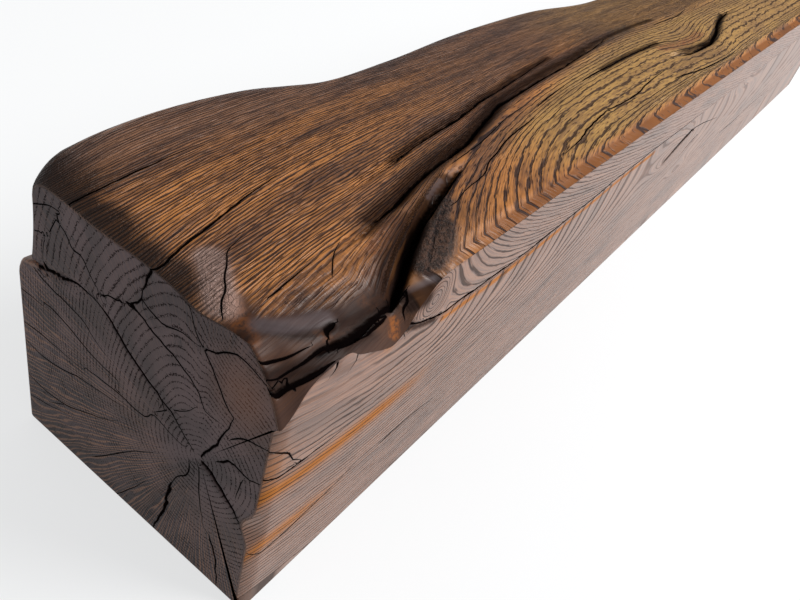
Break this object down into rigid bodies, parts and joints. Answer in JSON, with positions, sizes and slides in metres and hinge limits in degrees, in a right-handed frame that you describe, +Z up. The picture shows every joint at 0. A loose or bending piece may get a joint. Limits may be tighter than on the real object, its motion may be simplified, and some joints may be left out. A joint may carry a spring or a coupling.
{
  "type": "reclaimed oak beam",
  "caption": "Length of old square-sawn oak beam with a crowned, rounded top, a wandering natural back edge and deep drying cracks at its end.",
  "frame": {"origin": "middle of the sawn bottom face, on the surface that the beam lies on", "axes": "+X along the beam towards its far end, +Y towards the back with the natural edge, +Z up"},
  "size_m": [1.22, 0.151, 0.1618],
  "materials": {
    "oiled_oak": "dark stained oak, oiled and waxed to a satin sheen"
  },
  "bodies": {
    "root": {"oak_beam": "oiled_oak"}
  },
  "joints": []
}
